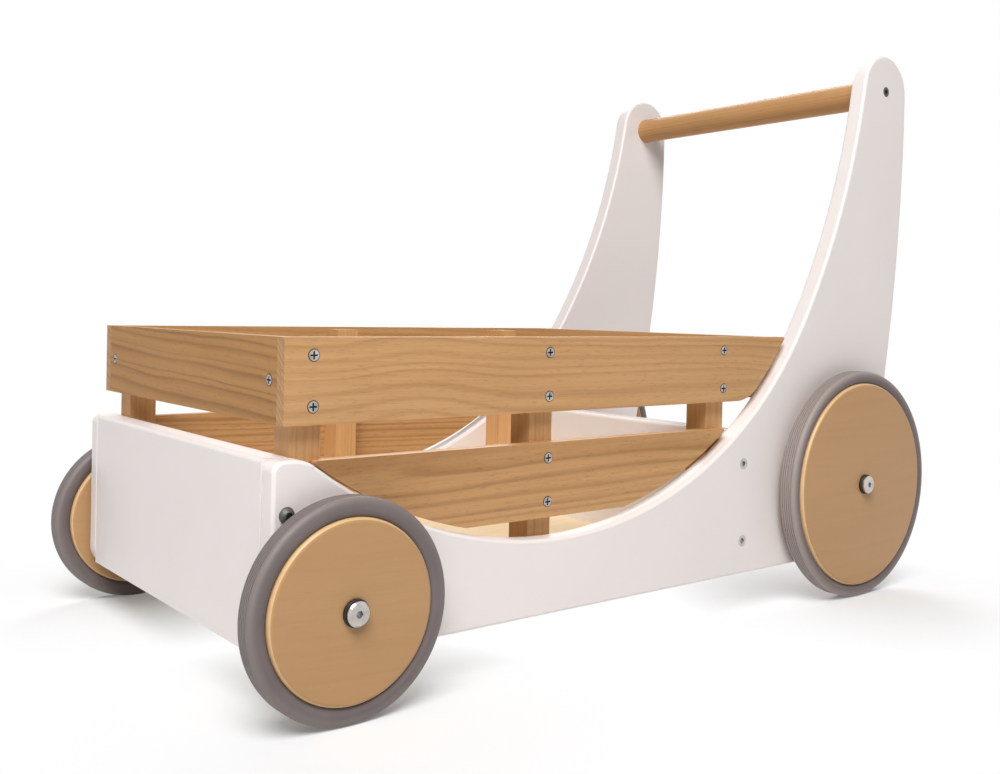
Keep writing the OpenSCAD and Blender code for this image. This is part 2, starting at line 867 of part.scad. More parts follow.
module wheel_spacers() {
  color([0.20, 0.20, 0.20])
    at_axles()
      difference() {
        cylinder(d = spacer_d, h = spacer_t);
        translate([0, 0, -cut])
          cylinder(d = axle_d + 2 * seat, h = spacer_t + 2 * cut);
      }
}

// Wheel parts are drawn outwards along +Z from z = 0 at the panel's outer face.
module disc(r) {
  e = disc_edge_r;
  color([0.79, 0.62, 0.42])
    difference() {
      translate([0, 0, disc_in])
        rotate_extrude()
          difference() {
            union() {
              square([r - e, disc_w]);
              translate([0, e])
                square([r, disc_w - 2 * e]);
              translate([r - e, e])
                circle(r = e, $fn = 48);
              translate([r - e, disc_w - e])
                circle(r = e, $fn = 48);
            }
            translate([r - tyre_rib_h, (disc_w - tyre_rib_w) / 2])
              square([tyre_rib_h + cut, tyre_rib_w]);
          }
      translate([0, 0, disc_in - cut])
        cylinder(d = bush_d + 2 * seat, h = disc_w + 2 * cut);
    }
}

module tyre(disc_r, r) {
  e = tyre_shoulder_r;
  inner = disc_r + seat;
  first = (tyre_w - (tread_grooves - 1) * tread_pitch - tread_depth) / 2;
  color([0.45, 0.43, 0.43])
    translate([0, 0, disc_in + (disc_w - tyre_w) / 2])
      rotate_extrude()
        difference() {
          union() {
            polygon([
              [inner, tyre_lip],
              [inner + tyre_lip, 0],
              [r - e, 0],
              [r - e, tyre_w],
              [inner + tyre_lip, tyre_w],
              [inner, tyre_w - tyre_lip]
            ]);
            translate([r - e - cut, e])
              square([e + cut, tyre_w - 2 * e]);
            translate([r - e, e])
              circle(r = e, $fn = 48);
            translate([r - e, tyre_w - e])
              circle(r = e, $fn = 48);
            translate([disc_r - tyre_rib_h + seat, (tyre_w - tyre_rib_w) / 2 + seat])
              square([tyre_rib_h + cut, tyre_rib_w - 2 * seat]);
          }
          for (i = [0 : 1 : tread_grooves - 1])
            translate([r - tread_depth, first + i * tread_pitch])
              square([tread_depth + cut, tread_depth]);
        }
}

module bush() {
  color([0.15, 0.15, 0.15])
    difference() {
      union() {
        translate([0, 0, disc_in])
          cylinder(d = bush_d, h = disc_w);
        translate([0, 0, disc_out])
          cylinder(d = bush_flange_d, h = bush_flange_t);
      }
      cylinder(d = axle_d + 2 * run, h = disc_out + bush_flange_t + cut);
    }
}

// Places a wheel part on the left side's axle at x, z.
module on_axle(x, z) {
  translate([x, half_out, z])
    rotate([-90, 0, 0])
      children();
}

module front_left_disc() {
  on_axle(front_axle_x, front_wheel_r)
    disc(front_disc_r);
}

module front_left_tyre() {
  on_axle(front_axle_x, front_wheel_r)
    tyre(front_disc_r, front_wheel_r);
}

module front_left_bush() {
  on_axle(front_axle_x, front_wheel_r)
    bush();
}

module front_right_disc() {
  mirror([0, 1, 0])
    front_left_disc();
}

module front_right_tyre() {
  mirror([0, 1, 0])
    front_left_tyre();
}

module front_right_bush() {
  mirror([0, 1, 0])
    front_left_bush();
}

module rear_left_disc() {
  on_axle(rear_axle_x, rear_wheel_r)
    disc(rear_disc_r);
}

module rear_left_tyre() {
  on_axle(rear_axle_x, rear_wheel_r)
    tyre(rear_disc_r, rear_wheel_r);
}

module rear_left_bush() {
  on_axle(rear_axle_x, rear_wheel_r)
    bush();
}

module rear_right_disc() {
  mirror([0, 1, 0])
    rear_left_disc();
}

module rear_right_tyre() {
  mirror([0, 1, 0])
    rear_left_tyre();
}

module rear_right_bush() {
  mirror([0, 1, 0])
    rear_left_bush();
}

left_panel();
right_panel();
front_board();
rear_board();
floor_board();
handle_dowel();
front_left_post();
front_right_post();
middle_left_post();
middle_right_post();
rear_left_post();
rear_right_post();
left_upper_rail();
right_upper_rail();
left_lower_rail();
right_lower_rail();
front_rail();
back_rail();
side_rail_screws();
front_rail_screws();
back_rail_pins();
front_board_bolts();
rear_board_bolts();
barrel_nuts();
handle_bolts();
axle_bolts();
axle_inserts();
wheel_spacers();
front_left_disc();
front_left_tyre();
front_left_bush();
front_right_disc();
front_right_tyre();
front_right_bush();
rear_left_disc();
rear_left_tyre();
rear_left_bush();
rear_right_disc();
rear_right_tyre();
rear_right_bush();
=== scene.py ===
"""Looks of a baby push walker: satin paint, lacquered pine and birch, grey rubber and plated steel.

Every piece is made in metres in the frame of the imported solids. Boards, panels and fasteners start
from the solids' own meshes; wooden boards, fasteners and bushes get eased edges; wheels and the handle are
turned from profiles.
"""

import logging
import math
from dataclasses import dataclass, field, replace
from enum import Enum
from typing import ClassVar

import bmesh
import bpy
from mathutils import Matrix, Vector


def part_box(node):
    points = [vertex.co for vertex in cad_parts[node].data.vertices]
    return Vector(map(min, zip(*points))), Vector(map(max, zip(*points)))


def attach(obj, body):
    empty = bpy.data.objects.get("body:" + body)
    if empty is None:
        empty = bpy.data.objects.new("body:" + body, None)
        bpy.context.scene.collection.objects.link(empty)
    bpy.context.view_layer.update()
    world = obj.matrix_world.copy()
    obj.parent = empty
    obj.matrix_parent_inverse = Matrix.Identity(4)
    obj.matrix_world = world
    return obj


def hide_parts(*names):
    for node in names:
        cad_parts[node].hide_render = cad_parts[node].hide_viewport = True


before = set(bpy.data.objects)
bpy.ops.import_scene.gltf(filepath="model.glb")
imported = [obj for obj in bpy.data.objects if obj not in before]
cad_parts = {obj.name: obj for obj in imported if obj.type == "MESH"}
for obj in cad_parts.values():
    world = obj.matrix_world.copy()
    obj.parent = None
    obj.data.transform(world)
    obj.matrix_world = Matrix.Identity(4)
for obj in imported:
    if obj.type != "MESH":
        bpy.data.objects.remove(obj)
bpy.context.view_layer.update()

LOG = logging.getLogger("walker")
# Corners closer than this are one corner.
MERGE = 1e-6
# Faces that meet at less than this are one flat face.
FLAT_ANGLE = math.radians(0.4)
# Edges that turn by more than this stay sharp.
SMOOTH_ANGLE = math.radians(32)
# Inward edges that turn by more than this belong to a socket or recess.
RECESS_ANGLE = math.radians(50)
# How much large faces outweigh small ones where their shading meets, out of 100.
FLAT_WEIGHT = 90
# Ranges of a noise: one that holds most of its values, and a narrower one for more contrast.
NOISE_BAND = (0.3, 0.7)
CORE_BAND = (0.35, 0.65)
WHITE = (1.0, 1.0, 1.0, 1.0)
Pair = tuple[float, float]
Triple = tuple[float, float, float]
Rgba = tuple[float, float, float, float]
Inputs = dict[str | int, object]
Socket = bpy.types.NodeSocket


class Grain(Enum):
    """Axis that the wood fibres of a piece follow."""

    X = 0
    Y = 1
    Z = 2


class Side(Enum):
    """Side of the walker, as seen by the child who pushes it."""

    LEFT = "left"
    RIGHT = "right"


class Axle(Enum):
    """Axle line that carries a wheel."""

    FRONT = "front"
    REAR = "rear"


def colour(red: int, green: int, blue: int) -> Rgba:
    """Turns an 8-bit display colour into the linear colour that shaders take.

    Args:
        red: Red from 0 to 255.
        green: Green from 0 to 255.
        blue: Blue from 0 to 255.

    Returns:
        Linear red, green and blue with full opacity.
    """

    def linear(value: int) -> float:
        """Gives one channel's linear value."""
        share = value / 255
        return share / 12.92 if share <= 0.04045 else ((share + 0.055) / 1.055) ** 2.4

    return linear(red), linear(green), linear(blue), 1.0


class ShaderTree:
    """Nodes of one material, with short calls for the ones that the finishes use."""

    def __init__(self, name: str) -> None:
        """Starts an empty material.

        Args:
            name: Name of the material.
        """
        self.material = bpy.data.materials.new(name)
        self.material.use_nodes = True
        self.tree = self.material.node_tree
        self.tree.nodes.clear()

    def add(self, kind: str, inputs: Inputs, **settings: object) -> bpy.types.Node:
        """Adds a node.

        Args:
            kind: Blender's name of the node type.
            inputs: Value or incoming socket for each input, by its name or number.
            settings: Other properties of the node.

        Returns:
            The new node.
        """
        node = self.tree.nodes.new(kind)
        for key, value in settings.items():
            setattr(node, key, value)
        for key, value in inputs.items():
            if isinstance(value, Socket):
                self.tree.links.new(value, node.inputs[key])
            else:
                node.inputs[key].default_value = value
        return node

    def place(self) -> Socket:
        """Gives the place on the piece, in metres."""
        return self.add("ShaderNodeTexCoord", {}).outputs["Object"]

    def math(self, operation: str, first: Socket | float, second: Socket | float = 0.0) -> Socket:
        """Works out one number from two.

        Args:
            operation: Blender's name of the operation.
            first: First number.
            second: Second number.

        Returns:
            The result.
        """
        return self.add("ShaderNodeMath", {0: first, 1: second}, operation=operation).outputs[0]

    def vector(self, operation: str, first: Socket, second: Socket | tuple) -> bpy.types.Node:
        """Works out a vector node from two vectors.

        Args:
            operation: Blender's name of the operation.
            first: First vector.
            second: Second vector.

        Returns:
            The node, with its vector and its value.
        """
        return self.add("ShaderNodeVectorMath", {0: first, 1: second}, operation=operation)

    def stretch(self, vector: Socket, scale: Triple) -> Socket:
        """Scales a place differently along each axis."""
        return self.vector("MULTIPLY", vector, scale).outputs["Vector"]

    def noise(self, vector: Socket, scale: float, detail: float = 2.0) -> bpy.types.Node:
        """Adds soft noise.

        Args:
            vector: Place to read it at.
            scale: Number of features to a metre.
            detail: Number of finer layers.

        Returns:
            The noise node.
        """
        return self.add("ShaderNodeTexNoise", {"Vector": vector, "Scale": scale, "Detail": detail})

    def span(self, value: Socket, low: float, high: float, start: float = 0.0, end: float = 1.0) -> Socket:
        """Maps a number from one range to another.

        Args:
            value: Number to map.
            low: Result at start.
            high: Result at end.
            start: Lower end of the incoming range.
            end: Upper end of the incoming range.

        Returns:
            The mapped number, kept between low and high.
        """
        inputs = {"Value": value, "From Min": start, "From Max": end, "To Min": low, "To Max": high}
        return self.add("ShaderNodeMapRange", inputs, clamp=True).outputs["Result"]

    def ramp(self, value: Socket, stops: tuple[Pair, ...]) -> Socket:
        """Draws a curve through given stops.

        Args:
            value: Number from 0 to 1.
            stops: Position and result of each stop.

        Returns:
            The result as a grey value.
        """
        node = self.add("ShaderNodeValToRGB", {"Fac": value})
        elements = node.color_ramp.elements
        while len(elements) < len(stops):
            elements.new(0.5)
        for element, (position, grey) in zip(elements, stops):
            element.position = position
            element.color = (grey, grey, grey, 1.0)
        return node.outputs["Color"]

    def mix(self, share: Socket, first: Socket | Rgba, second: Socket | Rgba) -> Socket:
        """Blends two colours.

        Args:
            share: How much of the second colour shows.
            first: Colour at 0.
            second: Colour at 1.

        Returns:
            The blend.
        """
        # In a colour mix, inputs 6 and 7 are the colours and output 2 is the blend.
        inputs = {0: share, 6: first, 7: second}
        return self.add("ShaderNodeMix", inputs, data_type="RGBA").outputs[2]

    def tint(self, base: Socket, value: Socket) -> Socket:
        """Makes a colour lighter or darker by a factor around 1."""
        return self.add("ShaderNodeHueSaturation", {"Color": base, "Value": value}).outputs["Color"]

    def bump(self, height: Socket, depth: float) -> Socket:
        """Turns a height from 0 to 1 into a slightly uneven surface.

        Args:
            height: Height over the surface.
            depth: Height of 1, in metres.

        Returns:
            The surface direction.
        """
        inputs = {"Height": height, "Strength": 1.0, "Distance": depth}
        return self.add("ShaderNodeBump", inputs).outputs["Normal"]

    def surface(self, inputs: Inputs) -> bpy.types.Material:
        """Closes the material with one surface shader.

        Args:
            inputs: Values and sockets of the shader's inputs.

        Returns:
            The finished material.
        """
        shader = self.add("ShaderNodeBsdfPrincipled", inputs)
        self.add("ShaderNodeOutputMaterial", {"Surface": shader.outputs[0]})
        return self.material


@dataclass(frozen=True)
class PaintFinish:
    """Sprayed satin paint with faint mottling and a fine orange-peel skin."""

    base: Rgba = colour(239, 231, 228)
    shade: Rgba = colour(237, 229, 226)
    mottle_scale: float = 14.0
    peel_scale: float = 420.0
    peel_depth: float = 0.00006
    gloss: float = 0.4
    roughness: Pair = (0.30, 0.42)

    def material(self, name: str) -> bpy.types.Material:
        """Makes the paint for one piece.

        Args:
            name: Name of the material.

        Returns:
            The material.
        """
        tree = ShaderTree(name)
        place = tree.place()
        mottle = tree.noise(place, self.mottle_scale, 4.0).outputs["Fac"]
        peel = tree.noise(place, self.peel_scale, 2.0).outputs["Fac"]
        return tree.surface({
            "Base Color": tree.mix(tree.span(mottle, 0.0, 1.0, *NOISE_BAND), self.base, self.shade),
            "Roughness": tree.span(mottle, *self.roughness, *NOISE_BAND),
            "Normal": tree.bump(peel, self.peel_depth),
            "Specular IOR Level": self.gloss,
        })


@dataclass(frozen=True)
class Cut:
    """How a piece was cut from its log.

    Attributes:
        pith: How far the pith lies beside the piece's middle, along the two axes across the grain.
        tilt: Tilt of the pith against the grain, in degrees.
        shift: Place along the log, so that no two pieces look alike.
        value: How light the piece is beside its finish.
        hump: Place along the grain, height and half width of a rise of the rings, if it has one.
    """

    pith: Pair
    tilt: Pair = (0.0, 0.0)
    shift: float = 0.0
    value: float = 1.0
    hump: Triple | None = None


@dataclass(frozen=True)
class WoodFinish:
    """Clear-lacquered wood: growth rings round the pith, fibres along the grain, uneven tone.

    The bands are the parts of an incoming range that a look changes over, and the scales count
    features to a metre along the grain and across it.

    Attributes:
        early: Colour of the early wood.
        late: Colour of the late wood.
        tone: Colour of the early wood in darker patches.
        ring: Mean width of a year's ring.
        contrast: How strongly the late wood shows along the grain.
        warp: How far the rings wander.
        fibre: Lightness of the darkest and lightest fibres.
        pore: Lightness of the pores.
        faintest: Strength of the faintest ring beside the strongest.
        end_contrast: How strongly the late wood shows on end grain.
        end_value: Lightness of end grain.
        saw_pitch: Distance between saw marks on end grain.
        saw_share: Strength of the saw marks.
        tone_share: Strength of the darker patches.
        depth: Height of the fibres.
        gloss: Strength of the lacquer's shine.
        roughness: Roughness of the smoothest and roughest fibres.
    """

    early: Rgba
    late: Rgba
    tone: Rgba
    ring: float
    contrast: float
    warp: float
    fibre: Pair = (0.93, 1.06)
    pore: float = 0.90
    faintest: float = 0.35
    end_contrast: float = 0.9
    end_value: float = 0.92
    saw_pitch: float = 0.0044
    saw_share: float = 0.5
    tone_share: float = 0.5
    depth: float = 0.00012
    gloss: float = 0.22
    roughness: Pair = (0.40, 0.55)

    LATE_WOOD: ClassVar[tuple[Pair, ...]] = (
        (0.0, 0.25), (0.25, 0.0), (0.50, 0.12), (0.80, 1.0), (0.90, 0.9), (1.0, 0.25),
    )
    WANDER_STRETCH: ClassVar[Triple] = (0.14, 1.0, 1.0)
    WANDER_SCALE: ClassVar[float] = 22.0
    RING_SCALE: ClassVar[float] = 0.55
    RING_DRIFT: ClassVar[float] = 1.6
    STREAK_SCALE: ClassVar[Triple] = (9.0, 620.0, 620.0)
    STREAK_RELIEF: ClassVar[float] = 0.6
    PORE_SCALE: ClassVar[Triple] = (130.0, 1100.0, 1100.0)
    PORE_BAND: ClassVar[Pair] = (0.28, 0.42)
    PORE_RELIEF: ClassVar[float] = 0.4
    PATCH_SCALE: ClassVar[Triple] = (3.5, 26.0, 26.0)
    PATCH_PEAK: ClassVar[float] = 1.15
    TONE_BAND: ClassVar[Pair] = (0.35, 0.7)
    END_BAND: ClassVar[Pair] = (0.6, 0.9)
    SAW_BAND: ClassVar[Pair] = (0.25, 0.42)
    SAWN_BAND: ClassVar[Pair] = (0.8, 0.95)

    def material(self, name: str, grain: Grain, middle: Vector, cut: Cut) -> bpy.types.Material:
        """Makes the wood of one piece.

        Args:
            name: Name of the material.
            grain: Axis that the fibres follow.
            middle: Middle of the piece.
            cut: Where the piece lay in its log.

        Returns:
            The material.
        """
        tree = ShaderTree(name)
        place = self._along_grain(tree, grain, middle, cut)
        slow = tree.stretch(place, self.WANDER_STRETCH)
        wander = tree.noise(slow, self.WANDER_SCALE, 3.0).outputs["Color"]
        offset = tree.vector("SUBTRACT", wander, (0.5, 0.5, 0.5)).outputs["Vector"]
        offset = tree.stretch(offset, (0.0, self.warp, self.warp))
        grown = tree.vector("ADD", place, offset).outputs["Vector"]
        if cut.hump:
            grown = self._humped(tree, grown, cut)
        across = tree.stretch(grown, (0.0, 1.0, 1.0))
        radius = tree.vector("LENGTH", across, (0.0, 0.0, 0.0)).outputs["Value"]
        age = tree.math("DIVIDE", radius, self.ring)
        uneven = tree.add("ShaderNodeTexNoise", {"W": age, "Scale": self.RING_SCALE}, noise_dimensions="1D")
        age = tree.math("ADD", age, tree.math("MULTIPLY", uneven.outputs["Fac"], self.RING_DRIFT))
        year = tree.add("ShaderNodeTexWhiteNoise", {"W": tree.math("FLOOR", age)}, noise_dimensions="1D")
        late = tree.ramp(tree.math("FRACT", age), self.LATE_WOOD)
        late = tree.math("MULTIPLY", late, tree.span(year.outputs["Value"], self.faintest, 1.0))
        streak = tree.noise(tree.stretch(place, self.STREAK_SCALE), 1.0, 4.0).outputs["Fac"]
        pore = tree.noise(tree.stretch(place, self.PORE_SCALE), 1.0, 2.0).outputs["Fac"]
        patch = tree.noise(tree.stretch(place, self.PATCH_SCALE), 1.0, 2.0).outputs["Fac"]
        late = tree.math("MULTIPLY", late, tree.span(patch, self.faintest, self.PATCH_PEAK, *NOISE_BAND))
        facing = tree.add("ShaderNodeTexCoord", {}).outputs["Normal"]
        facing = tree.add("ShaderNodeSeparateXYZ", {0: facing}).outputs[grain.value]
        end = tree.math("ABSOLUTE", facing)
        share = tree.math("MULTIPLY", late, tree.span(end, self.contrast, self.end_contrast, *self.END_BAND))
        wood = tree.mix(tree.span(patch, 0.0, self.tone_share, *self.TONE_BAND), self.early, self.tone)
        share = tree.math("MAXIMUM", share, self._saw_marks(tree, place, end))
        wood = tree.mix(share, wood, self.late)
        wood = tree.tint(wood, tree.span(end, 1.0, self.end_value, *self.END_BAND))
        wood = tree.tint(wood, tree.span(streak, *self.fibre, *NOISE_BAND))
        wood = tree.tint(wood, tree.span(pore, self.pore * cut.value, cut.value, *self.PORE_BAND))
        ridge = tree.math("MULTIPLY", streak, self.STREAK_RELIEF)
        relief = tree.math("ADD", ridge, tree.math("MULTIPLY", pore, self.PORE_RELIEF))
        return tree.surface({
            "Base Color": wood,
            "Roughness": tree.span(streak, *self.roughness, *NOISE_BAND),
            "Normal": tree.bump(relief, self.depth),
            "Specular IOR Level": self.gloss,
        })

    def _saw_marks(self, tree: ShaderTree, place: Socket, end: Socket) -> Socket:
        """Draws slanting saw marks on the ends of a piece.

        Args:
            tree: Nodes of the material.
            place: Place with the grain along X.
            end: How squarely the surface lies across the grain, from 0 to 1.

        Returns:
            How dark the marks are.
        """
        parts = tree.add("ShaderNodeSeparateXYZ", {0: place}).outputs
        slant = tree.math("DIVIDE", tree.math("ADD", parts[1], parts[2]), self.saw_pitch)
        mark = tree.span(tree.math("PINGPONG", slant, 0.5), 0.0, self.saw_share, *self.SAW_BAND)
        return tree.math("MULTIPLY", mark, tree.span(end, 0.0, 1.0, *self.SAWN_BAND))

    @staticmethod
    def _humped(tree: ShaderTree, place: Socket, cut: Cut) -> Socket:
        """Lifts the rings in a soft hump, as over a knot below the face.

        Args:
            tree: Nodes of the material.
            place: Place with the grain along X.
            cut: Where the piece lay in its log, with its hump.

        Returns:
            The changed place.
        """
        at, height, width = cut.hump
        along = tree.add("ShaderNodeSeparateXYZ", {0: place}).outputs[0]
        away = tree.math("DIVIDE", tree.math("SUBTRACT", along, at + cut.shift), width)
        fall = tree.math("POWER", math.e, tree.math("MULTIPLY", tree.math("MULTIPLY", away, away), -1.0))
        lift = tree.add("ShaderNodeCombineXYZ", {2: tree.math("MULTIPLY", fall, -height)})
        return tree.vector("ADD", place, lift.outputs[0]).outputs["Vector"]

    @staticmethod
    def _along_grain(tree: ShaderTree, grain: Grain, middle: Vector, cut: Cut) -> Socket:
        """Gives the place with the grain along X and the pith as its axis.

        Args:
            tree: Nodes of the material.
            grain: Axis that the fibres follow.
            middle: Middle of the piece.
            cut: Where the piece lay in its log.

        Returns:
            The place as a vector.
        """
        order = [grain.value] + [axis for axis in range(3) if axis != grain.value]
        parts = tree.add("ShaderNodeSeparateXYZ", {0: tree.place()}).outputs
        turned = tree.add("ShaderNodeCombineXYZ", {n: parts[axis] for n, axis in enumerate(order)})
        along, first, second = (middle[axis] for axis in order)
        location = (cut.shift - along, -cut.pith[0] - first, -cut.pith[1] - second)
        tilt = (0.0, math.radians(cut.tilt[1]), math.radians(cut.tilt[0]))
        inputs = {"Vector": turned.outputs[0], "Location": location}
        moved = tree.add("ShaderNodeMapping", inputs).outputs[0]
        return tree.add("ShaderNodeMapping", {"Vector": moved, "Rotation": tilt}).outputs[0]


@dataclass(frozen=True)
class RubberFinish:
    """Moulded grey rubber with a dusty bloom and a tread in a lighter colour, which is painted light and
    sheen.

    The tread's colour comes in between two depths below the tyre's radius.
    """

    base: Rgba = colour(102, 92, 91)
    bloom: Rgba = colour(111, 101, 100)
    # The tread's lighter colour is painted light and sheen.
    tread: Rgba = colour(124, 114, 111)
    tread_depth: Pair = (0.0060, 0.0008)
    dust_scale: float = 35.0
    grit_scale: float = 900.0
    grit_depth: float = 0.00008
    gloss: float = 0.5
    roughness: Pair = (0.48, 0.62)

    def material(self, name: str, middle: Vector, radius: float) -> bpy.types.Material:
        """Makes the rubber for one tyre.

        Args:
            name: Name of the material.
            middle: Middle of the wheel.
            radius: Outer radius of the tyre.

        Returns:
            The material.
        """
        tree = ShaderTree(name)
        place = tree.place()
        dust = tree.noise(place, self.dust_scale, 5.0).outputs["Fac"]
        grit = tree.noise(place, self.grit_scale, 2.0).outputs["Fac"]
        spoke = tree.stretch(tree.vector("SUBTRACT", place, middle).outputs["Vector"], (1.0, 0.0, 1.0))
        away = tree.vector("LENGTH", spoke, (0.0, 0.0, 0.0)).outputs["Value"]
        # Between these two radii the colour turns to the tread's painted light.
        inner, outer = (radius - depth for depth in self.tread_depth)
        rubber = tree.mix(tree.span(dust, 0.0, 1.0, *CORE_BAND), self.base, self.bloom)
        return tree.surface({
            "Base Color": tree.mix(tree.span(away, 0.0, 1.0, inner, outer), rubber, self.tread),
            "Roughness": tree.span(grit, *self.roughness, *NOISE_BAND),
            "Normal": tree.bump(grit, self.grit_depth),
            "Specular IOR Level": self.gloss,
        })


@dataclass(frozen=True)
class MetalFinish:
    """Plated steel with fine handling marks."""

    base: Rgba
    stain: Rgba
    roughness: Pair
    mark_scale: float = 700.0
    mark_depth: float = 0.00002
    mark_stretch: Triple = (1.0, 1.0, 6.0)
    cloud_scale: float = 160.0

    def material(self, name: str) -> bpy.types.Material:
        """Makes the plating for one set of fasteners.

        Args:
            name: Name of the material.

        Returns:
            The material.
        """
        tree = ShaderTree(name)
        place = tree.place()
        cloud = tree.noise(place, self.cloud_scale, 3.0).outputs["Fac"]
        mark = tree.noise(tree.stretch(place, self.mark_stretch), self.mark_scale, 3.0).outputs["Fac"]
        return tree.surface({
            "Base Color": tree.mix(tree.span(cloud, 0.0, 1.0, *CORE_BAND), self.base, self.stain),
            "Metallic": 1.0,
            "Roughness": tree.span(mark, *self.roughness, *NOISE_BAND),
            "Normal": tree.bump(mark, self.mark_depth),
        })


@dataclass(frozen=True)
class NylonFinish:
    """Black moulded nylon."""

    base: Rgba = colour(27, 23, 21)
    worn: Rgba = colour(42, 37, 34)
    grain_scale: float = 1200.0
    grain_depth: float = 0.00004
    wear_scale: float = 120.0
    wear_band: Pair = (0.4, 0.7)
    roughness: Pair = (0.42, 0.58)

    def material(self, name: str) -> bpy.types.Material:
        """Makes the nylon for one piece.

        Args:
            name: Name of the material.

        Returns:
            The material.
        """
        tree = ShaderTree(name)
        place = tree.place()
        grain = tree.noise(place, self.grain_scale, 2.0).outputs["Fac"]
        wear = tree.noise(place, self.wear_scale, 3.0).outputs["Fac"]
        return tree.surface({
            "Base Color": tree.mix(tree.span(wear, 0.0, 1.0, *self.wear_band), self.base, self.worn),
            "Roughness": tree.span(grain, *self.roughness, *NOISE_BAND),
            "Normal": tree.bump(grain, self.grain_depth),
        })


PAINT = PaintFinish()
RAIL_PINE = WoodFinish(
    early=colour(201, 156, 107), late=colour(158, 111, 68), tone=colour(190, 143, 94),
    ring=0.0066, contrast=0.55, warp=0.022, faintest=0.5, pore=0.82, gloss=0.3,
)
STRIPED_PINE = WoodFinish(
    early=colour(200, 155, 106), late=colour(146, 100, 58), tone=colour(188, 141, 91),
    ring=0.0050, contrast=0.66, warp=0.008, faintest=0.6, pore=0.78,
)
DARK_PINE = WoodFinish(
    early=colour(184, 138, 88), late=colour(122, 79, 41), tone=colour(174, 127, 75),
    ring=0.0066, contrast=0.75, warp=0.018, faintest=0.5, pore=0.82, gloss=0.12,
)
POST_PINE = WoodFinish(
    early=colour(216, 169, 117), late=colour(176, 127, 78), tone=colour(203, 154, 101),
    ring=0.0040, contrast=0.5, warp=0.010,
)
PLY = WoodFinish(
    early=colour(245, 226, 190), late=colour(228, 201, 158), tone=colour(240, 218, 178),
    ring=0.009, contrast=0.4, warp=0.05,
)
DOWEL_WOOD = WoodFinish(
    early=colour(196, 150, 102), late=colour(170, 122, 76), tone=colour(186, 139, 90),
    ring=0.0030, contrast=0.35, warp=0.004, gloss=0.12,
)
BIRCH = WoodFinish(
    early=colour(186, 145, 101), late=colour(170, 127, 83), tone=colour(180, 138, 94),
    ring=0.0085, contrast=0.20, warp=0.045, fibre=(0.985, 1.012), pore=0.97, end_contrast=0.4,
    end_value=0.96, saw_share=0.0, gloss=0.3, roughness=(0.30, 0.40),
)
# Paler birch for the discs' rims: a painted highlight along the rounded rim.
BIRCH_RIM_PAINTED_HIGHLIGHT = replace(
    BIRCH, early=colour(220, 184, 137), late=colour(204, 164, 116), tone=colour(214, 177, 129), end_value=1.0,
)
# The rear tyres' tread is lighter still: painted light on those tyres.
RUBBER = {Axle.FRONT: RubberFinish(), Axle.REAR: RubberFinish(tread=colour(152, 140, 135))}
NYLON = NylonFinish()
ZINC = MetalFinish(colour(198, 196, 193), colour(150, 149, 147), (0.22, 0.34), 260.0)
SATIN_STEEL = MetalFinish(colour(208, 205, 202), colour(190, 187, 184), (0.34, 0.46))
DARK_STEEL = MetalFinish(colour(106, 104, 101), colour(90, 88, 86), (0.50, 0.62))
NICKEL = MetalFinish(colour(204, 198, 193), colour(184, 178, 173), (0.14, 0.22))
# Platings for the insides of sockets and cross recesses and for the rims round sunk screw heads: darker than
# the heads, as painted shade.
BROWN_PAINTED_RECESS_SHADE = MetalFinish(colour(86, 72, 62), colour(66, 56, 50), (0.45, 0.60))
DARK_PAINTED_SOCKET_SHADE = MetalFinish(colour(84, 85, 90), colour(66, 68, 72), (0.45, 0.60))
PALE_PAINTED_SOCKET_SHADE = MetalFinish(colour(172, 169, 167), colour(150, 148, 146), (0.45, 0.60))


def middle_of(node: str) -> Vector:
    """Gives the middle of a solid's box."""
    low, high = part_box(node)
    return (low + high) / 2


def merged_copy(node: str) -> bmesh.types.BMesh:
    """Copies a solid's mesh with its loose triangles joined.

    Args:
        node: Name of the solid.

    Returns:
        The copy, still to be made an object.
    """
    bm = bmesh.new()
    bm.from_mesh(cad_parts[node].data)
    bmesh.ops.remove_doubles(bm, verts=bm.verts, dist=MERGE)
    return bm


def join_flats(bm: bmesh.types.BMesh) -> None:
    """Joins the triangles of every flat face into one face."""
    bmesh.ops.dissolve_limit(bm, angle_limit=FLAT_ANGLE, verts=bm.verts, edges=bm.edges)


def ease_edges(
    bm: bmesh.types.BMesh, ease: float, segments: int = 3, turn: Pair = (70.0, 150.0),
    outside: bool = False, material: int = -1,
) -> None:
    """Rounds the convex edges of a shape that turn by an angle in a given range.

    Args:
        bm: Shape to change, with its flat faces whole.
        ease: Size of the rounding.
        segments: Number of faces across it.
        turn: Least and greatest turn of the edges, in degrees.
        outside: Leaves out the edges of marked recesses.
        material: Number of the rounding's material, or -1 to keep that of the faces beside it.
    """
    least, most = (math.radians(angle) for angle in turn)
    corners = [edge for edge in bm.edges if edge.is_convex and least < edge.calc_face_angle(0.0) < most]
    if outside:
        corners = [edge for edge in corners if not any(face.material_index for face in edge.link_faces)]
    rounding = bmesh.ops.bevel(
        bm, geom=corners, offset=ease, affect="EDGES", segments=segments, profile=0.5, material=-1,
        clamp_overlap=True,
    )
    if material >= 0:
        for face in rounding["faces"]:
            face.material_index = material


def mark_recesses(bm: bmesh.types.BMesh) -> None:
    """Gives the faces inside sockets and cross recesses the second material, which holds their painted shade.

    Args:
        bm: Shape to change, with its flat faces whole.
    """
    for edge in bm.edges:
        if not edge.is_convex and edge.calc_face_angle(0.0) > RECESS_ANGLE:
            for face in edge.link_faces:
                face.material_index = 1


def mark_countersinks(bm: bmesh.types.BMesh, turn: Pair) -> None:
    """Gives the sloping walls of countersunk holes the second material, a darker wood for their end grain and
    painted shade.

    Args:
        bm: Shape to change, with its flat faces whole.
        turn: Least and greatest turn of the holes' edges, in degrees.
    """
    least, most = (math.radians(angle) for angle in turn)
    for edge in bm.edges:
        if edge.is_convex and least < edge.calc_face_angle(0.0) < most:
            min(edge.link_faces, key=lambda face: face.calc_area()).material_index = 1


